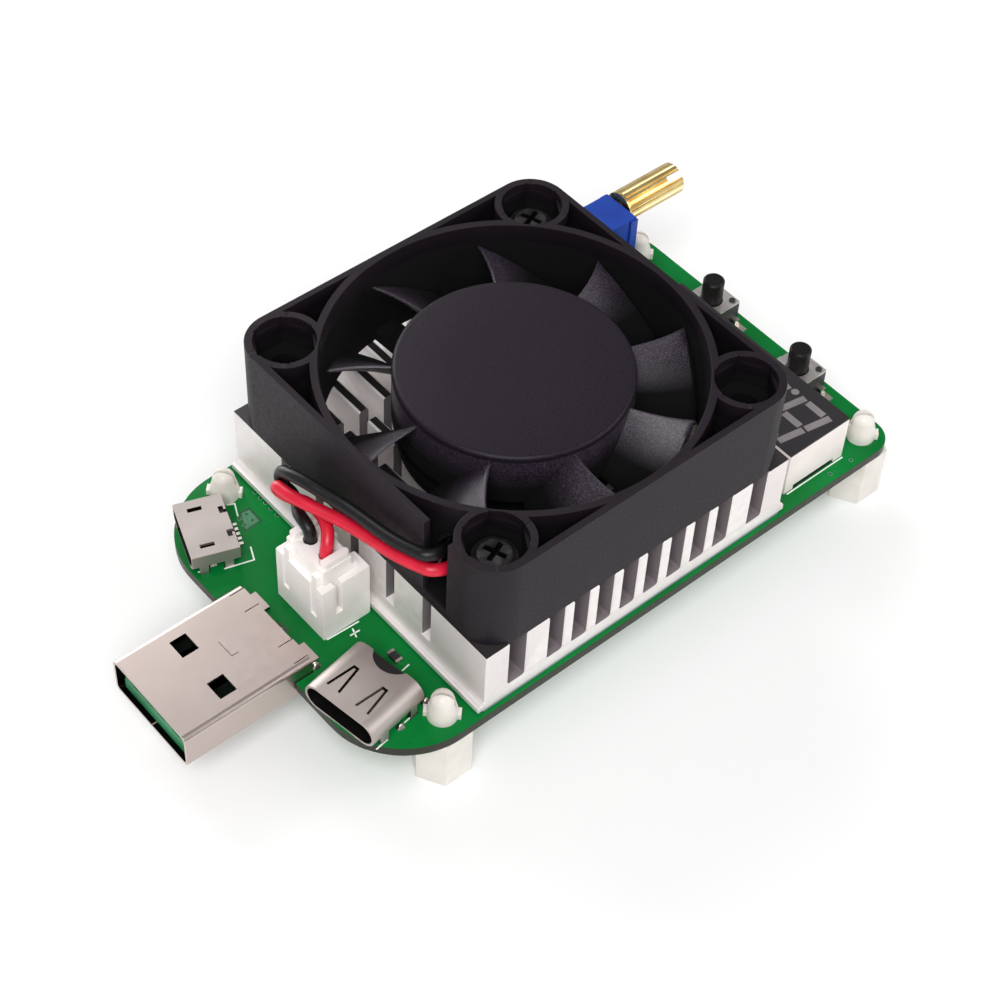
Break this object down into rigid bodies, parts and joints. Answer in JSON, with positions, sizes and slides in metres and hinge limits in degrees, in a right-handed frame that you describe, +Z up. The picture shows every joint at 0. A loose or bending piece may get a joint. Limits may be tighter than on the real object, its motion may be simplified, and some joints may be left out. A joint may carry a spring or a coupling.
{
  "type": "dc electronic load",
  "caption": "Plug-in dc electronic load: circuit board on hex posts with a finned heat sink, axial fan, digit display, push buttons, trimmer knob, plug and sockets.",
  "frame": {"origin": "centre of the bounding box, at the level of the post feet", "axes": "+X from the plug to the control end, +Y across the board to the trimmer side, +Z up out of the fan"},
  "size_m": [0.0842, 0.041, 0.0272],
  "materials": {
    "pcb": "green solder mask over glass laminate",
    "nylon": "milky white nylon",
    "sink": "bright extruded aluminium with sawn cross cuts",
    "pad": "soft grey thermal pad",
    "package": "black moulded package",
    "tin": "tinned metal",
    "fan": "black moulded plastic, lightly textured",
    "rotor": "black moulded plastic, sparkle texture",
    "steel": "plain steel",
    "magnet": "bonded ferrite strip",
    "clip": "natural nylon",
    "bronze": "sintered bronze",
    "copper": "enamelled copper wire",
    "motor_pcb": "thin green circuit board",
    "screw": "black oxide steel",
    "red": "red wire insulation",
    "black": "black wire insulation",
    "white": "white nylon moulding",
    "shell": "bright nickel plated sheet",
    "shell_dull": "nickel plated sheet",
    "green": "green moulded insert",
    "gold": "gold flash on contacts",
    "insert": "black moulded insert",
    "case": "off-white moulded case",
    "face": "black printed face",
    "segment": "milky grey segment",
    "switch": "black moulded base",
    "plate": "plated cover plate",
    "button": "black moulded stem",
    "blue": "blue moulded case",
    "brass": "plain brass, knurled"
  },
  "bodies": {
    "load": {"board": "pcb", "posts": "nylon", "heatsink": "sink", "thermal_pad": "pad", "transistors": "package", "transistor_metal": "tin", "chips": "package", "chip_legs": "tin", "shunt": "package", "fan_frame": "fan", "bearing": "bronze", "stator_core": "steel", "stator_coils": "copper", "motor_board": "motor_pcb", "fan_screws": "screw", "lead_red": "red", "lead_black": "black", "header": "white", "header_pins": "tin", "plug_housing": "white", "plug_contacts": "tin", "plug_shell": "shell", "plug_tongue": "green", "plug_blades": "gold", "socket_c_shell": "shell_dull", "socket_c_tongue": "insert", "socket_c_contacts": "gold", "socket_m_shell": "shell_dull", "socket_m_tongue": "insert", "socket_m_contacts": "gold", "display_case": "case", "display_face": "face", "display_windows": "segment", "display_pins": "tin", "switch_bases": "switch", "switch_covers": "plate", "switch_domes": "steel", "switch_legs": "tin", "trimmer_body": "blue", "trimmer_pins": "tin", "resistor": "package", "resistor_ends": "tin"},
    "rotor": {"impeller": "rotor", "rotor_yoke": "steel", "rotor_magnet": "magnet", "rotor_shaft": "steel", "shaft_clip": "clip"},
    "push_a": {"button_a": "button"},
    "push_b": {"button_b": "button"},
    "adjuster": {"trimmer_shaft": "brass"}
  },
  "joints": [
    {"name": "fan_spin", "type": "hinge", "parent": "load", "child": "rotor", "pos_m": [0.00263, 0, 0.0215], "axis": [0, 0, 1], "continuous": true},
    {"name": "button_a_press", "type": "slide", "parent": "load", "child": "push_a", "axis": [0, 0, -1], "range_m": [0, 0.00025], "stiffness_N_per_m": 6000},
    {"name": "button_b_press", "type": "slide", "parent": "load", "child": "push_b", "axis": [0, 0, -1], "range_m": [0, 0.00025], "stiffness_N_per_m": 6000},
    {"name": "adjuster_turn", "type": "hinge", "parent": "load", "child": "adjuster", "pos_m": [0.0379, 0.01803, 0.01675], "axis": [1, 0, 0], "continuous": true}
  ]
}
